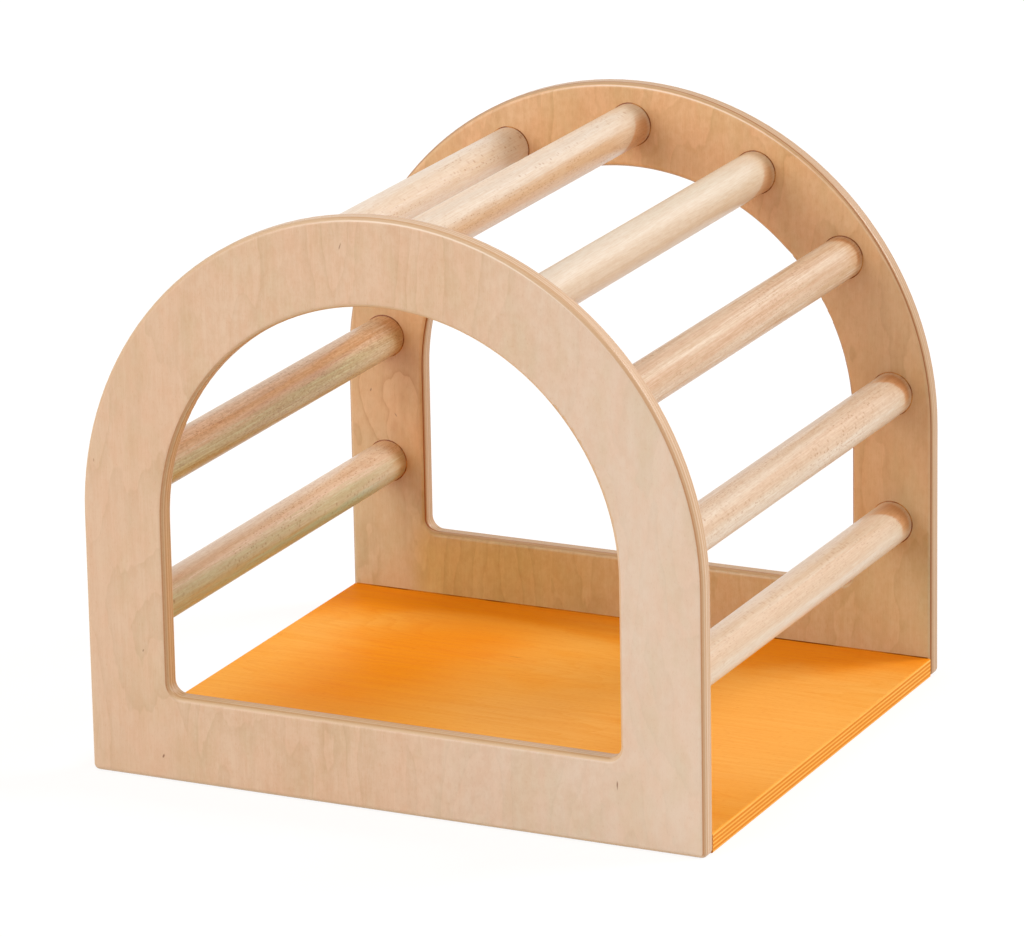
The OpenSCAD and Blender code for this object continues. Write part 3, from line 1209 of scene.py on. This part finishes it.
@dataclass
class Studio:
    """A plain white room with soft light from the right, behind and in front."""

    floor_half: float = 12.0
    floor_at: float = -0.2 * MM
    floor_shade: Colour = (0.80, 0.80, 0.80, 1.0)
    floor_seen: Colour = (0.22, 0.22, 0.22, 1.0)
    floor_glow: float = 0.84
    world_level: float = 0.58
    world_colour: Colour = (1.0, 0.90, 0.80, 1.0)
    world_seen: Colour = (1.0, 1.0, 1.0, 1.0)
    lamps: Sequence[Lamp] = (
        Lamp("key", (1.0, 0.85, 0.8), 0.54, 26.0, (1.0, 0.97, 0.97)),
        Lamp("front_fill", (-0.5, -0.85, 0.42), 0.44, 46.0, (1.0, 0.97, 0.97)),
        Lamp("back_softbox", (0.22, 0.86, 0.46), 0.04, 26.0),
    )

    def split(self, bench: NodeBench, lit: Socket, seen: Socket) -> Socket:
        """Light the object with one shader and show another as the background.

        Args:
            bench: the nodes of the room or its floor.
            lit: what rays that light the object meet.
            seen: what camera, glossy and transmission rays meet.

        Returns:
            The joint shader.
        """
        path = bench.node("LightPath").outputs
        camera, glossy, through = (Reading(bench, path[f"Is {kind} Ray"])
                                   for kind in ("Camera", "Glossy", "Transmission"))
        share = camera.most(glossy).most(through)
        return bench.node("MixShader", [share, lit, seen]).outputs[0]

    def sky(self) -> None:
        """Light the room evenly, and show it white."""
        world = bpy.data.worlds.new("white_room")
        bpy.context.scene.world = world
        bench = NodeBench(world)
        lit = bench.node("Background", [self.world_colour, self.world_level]).outputs[0]
        seen = bench.node("Background", [self.world_seen, 1.0]).outputs[0]
        bench.close(self.split(bench, lit, seen), "OutputWorld")

    def ground(self) -> None:
        """Lay the pale floor, which shows white and keeps the object's shadow."""
        bpy.ops.object.select_all(action="DESELECT")
        bpy.ops.mesh.primitive_plane_add(size=2 * self.floor_half,
                                         location=(0, 0, self.floor_at))
        plane = bpy.context.object
        plane.name = "studio_floor"
        bpy.ops.object.transform_apply(location=True, rotation=True, scale=True)
        bench = NodeBench(bpy.data.materials.new("studio_floor"))
        lit = bench.node("BsdfDiffuse", [self.floor_shade]).outputs[0]
        shown = bench.node("BsdfDiffuse", [self.floor_seen]).outputs[0]
        glow = bench.node("Emission", {"Strength": self.floor_glow}).outputs[0]
        both = bench.node("AddShader", [shown, glow]).outputs[0]
        plane.data.materials.append(bench.close(self.split(bench, lit, both)))

    def build(self) -> None:
        """Set the room and its lamps."""
        self.sky()
        self.ground()
        for lamp in self.lamps:
            lamp.build()
        log.info("studio: white room")


@dataclass
class PhotoCamera:
    """The camera of the photograph, as its straight edges and circles give it.

    Its turns are in degrees, and its lens and sensor in millimetres.
    """

    place: Triple = (2.40187, -5.02141, 1.95279)
    azimuth: float = 25.6285
    elevation: float = 17.1009
    roll: float = -1.0525
    lens: float = 226.759
    sensor: float = 36.0
    clip_end: float = 100.0

    def build(self) -> None:
        """Create the camera and make it the scene's own."""
        az, el, ro = (math.radians(v) for v in (self.azimuth, self.elevation, self.roll))
        back = Vector((math.sin(az) * math.cos(el), -math.cos(az) * math.cos(el), math.sin(el)))
        right = Vector((math.cos(az), math.sin(az), 0.0))
        up = back.cross(right)
        across = right * math.cos(ro) + up * math.sin(ro)
        upward = up * math.cos(ro) - right * math.sin(ro)
        data = bpy.data.cameras.new("photo_camera")
        data.sensor_fit = "HORIZONTAL"
        data.sensor_width = self.sensor
        data.lens = self.lens
        data.clip_end = self.clip_end
        camera = bpy.data.objects.new("photo_camera", data)
        turned = Matrix((across, upward, back)).transposed().to_4x4()
        camera.matrix_world = Matrix.Translation(Vector(self.place)) @ turned
        bpy.context.scene.collection.objects.link(camera)
        bpy.context.scene.camera = camera
        log.info("camera: azimuth %.1f, elevation %.1f", self.azimuth, self.elevation)


# ------------ the whole


@dataclass
class ClimbingArch:
    """The whole arch: panels, floor, rungs, dowels and the beads in its joints."""

    panel_layup: Layup = Layup(through=Axis.Y, grain=Axis.Z, cross=Axis.X, face_at=PANEL_FACE)
    floor_layup: Layup = Layup(
        through=Axis.Z, grain=Axis.X, cross=Axis.Y, face_at=0.0, outer_veneer=0.5 * MM,
        inner_veneer=0.5 * MM, glue_share=0.10, skin_line=0.3 * MM, inner_line=0.3 * MM)

    def panels(self) -> list[SidePanel]:
        """List the side panels with their finishes.

        Returns:
            The front panel and the back panel.
        """
        front_pins = (
            Pin(-37.5 * MM, 512 * MM, 1.6 * MM, 8 * MM, 0.35, 0.6),
            Pin(-287 * MM, 292 * MM, 1.2 * MM, 4 * MM, 0.0, 0.5),
            Pin(-244 * MM, 120 * MM, 1.6 * MM, 3 * MM, 0.5, 0.6),
            Pin(217.5 * MM, 57 * MM, 1.7 * MM, 9 * MM, 0.0, 0.85),
            Pin(-227 * MM, 23 * MM, 2.2 * MM, 4 * MM, 0.4, 0.85),
        )
        back_pins = (
            Pin(-276 * MM, 215 * MM, 1.6 * MM, 4 * MM, 0.2, 0.7),
            Pin(-250 * MM, 193 * MM, 1.4 * MM, 5 * MM, -0.6, 0.5),
        )
        swirls = (
            Swirl(-262 * MM, 212 * MM, 60 * MM, 64 * MM, rings=2.0),
            Swirl(-258 * MM, 172 * MM, 40 * MM, 36 * MM, rings=1.2),
        )
        front = BirchPly("front_birch_ply", self.panel_layup, 3.1, outer_pins=front_pins)
        back = BirchPly("back_birch_ply", self.panel_layup, 11.7, ply=tone("CFAF88"),
                        inner_pins=back_pins, swirls=swirls)
        return [SidePanel("front_panel", front), SidePanel("back_panel", back)]

    def rungs(self) -> list[Rung]:
        """List the rungs, each with its own cut of beech.

        Returns:
            The nine rungs.
        """
        # The near-white bands on the crown, right shoulder and right upper leg rungs are painted
        # highlight; the other bands are the wood's stripes.
        cuts = {
            "crown_rung": BeechCut(
                40, 70 * MM, 1.3, 0.70, 0.22, 0.34, tone("E9DCCA"),
                (ToneAndLightBand(-2, 22, tone("DFB98C"), 0.75, 14), ToneAndLightBand(104, 16, tone("F6D8B2"), 0.5, 10),
                 ToneAndLightBand(73, 10, tone("E9DFD3"), 0.4)), 0.15,
                painted_rim_shadow=PaintedRimShadow(0.75, -15, -1.5 * MM)),
            "left_haunch_rung": BeechCut(
                200, 60 * MM, 4.1, 0.70, 0.20, 0.25, tone("EFE3D4"),
                (ToneAndLightBand(22, 8, tone("E4CFAC"), 0.30, 6), ToneAndLightBand(55, 10, tone("E0C49C"), 0.30, 10)),
                0.10),
            "right_haunch_rung": BeechCut(
                110, 110 * MM, 7.7, 0.15, 0.10, 0.14, tone("E5D9C5"),
                (ToneAndLightBand(0, 28, tone("E0C8AB"), 0.6, 14),), 0.42,
                painted_rim_shadow=PaintedRimShadow(0.62, -20, -4 * MM)),
            "left_shoulder_rung": BeechCut(310, 80 * MM, 9.2),
            "right_shoulder_rung": BeechCut(
                15, 90 * MM, 12.6, 0.55, 0.60, 1.0, tone("EADAC6"),
                (ToneAndLightBand(70, 12, tone("DFB994"), 0.55, 7), ToneAndLightBand(40, 5, tone("F0E2D0"), 0.6, 6),
                 ToneAndLightBand(16, 12, tone("DBB18A"), 0.6, 7)), 0.45,
                painted_rim_shadow=PaintedRimShadow(0.75, 50, -9 * MM)),
            "left_upper_leg_rung": BeechCut(
                150, 90 * MM, 15.3, 1.0, 0.80, 1.0, tone("E8D4BB"),
                (ToneAndLightBand(56, 22, tone("E8C196"), 0.8, 12), ToneAndLightBand(32, 8, tone("CDB088"), 0.5),
                 ToneAndLightBand(-16, 36, tone("CBC89A"), 0.95, 16)), 0.7, 0.38),
            "right_upper_leg_rung": BeechCut(
                70, 75 * MM, 18.8, 0.75, 0.30, 0.55, tone("EADDCB"),
                (ToneAndLightBand(90, 14, tone("F6ECDF"), 0.60, 10), ToneAndLightBand(58, 14, tone("E2C4A2"), 0.30, 12),
                 ToneAndLightBand(33, 14, tone("DDB994"), 0.50, 12)), 0.42, 0.15,
                painted_rim_shadow=PaintedRimShadow(0.85, 45, -2.5 * MM)),
            "left_lower_leg_rung": BeechCut(
                250, 60 * MM, 21.4, 0.80, 0.30, 0.60, tone("EBDAC4"),
                (ToneAndLightBand(55, 14, tone("DFBA94"), 0.4, 12), ToneAndLightBand(30, 12, tone("CFB68C"), 0.75, 12),
                 ToneAndLightBand(-4, 36, tone("C6C296"), 0.90, 16), ToneAndLightBand(-42, 26, tone("B2D0B4"), 0.9, 16)),
                0.7, 0.15),
            "right_lower_leg_rung": BeechCut(
                35, 65 * MM, 24.9, 0.36, 0.14, 0.24, tone("E7D8C3"),
                (ToneAndLightBand(60, 12, tone("E2C8A8"), 0.30, 12), ToneAndLightBand(30, 16, tone("DDBB96"), 0.55, 14)),
                0.42, painted_rim_shadow=PaintedRimShadow(0.85, 45, 2 * MM)),
        }
        return [Rung(node, cut) for node, cut in cuts.items()]

    def build(self) -> None:
        """Build and dress each sub-assembly in turn."""
        for panel in self.panels():
            panel.build()
        FloorBoard("floor_panel", StainedPly("orange_ply", self.floor_layup, 5.3)).build()
        rungs = self.rungs()
        for rung in rungs:
            rung.build()
        for node in ("front_floor_dowels", "back_floor_dowels"):
            DowelRow(node, DowelBeech(f"{node}_beech")).build()
        MouthBeads([rung.node for rung in rungs]).build()
        FloorSeam("front_floor_seam", True).build()
        FloorSeam("back_floor_seam", False).build()


def main() -> None:
    """Build the arch, the studio and the camera."""
    logging.basicConfig(level=logging.INFO, format="%(name)s: %(message)s")
    view = bpy.context.scene.view_settings
    view.view_transform = "Standard"
    PhotoCamera().build()
    ClimbingArch().build()
    Studio().build()


if __name__ == "__main__":
    main()
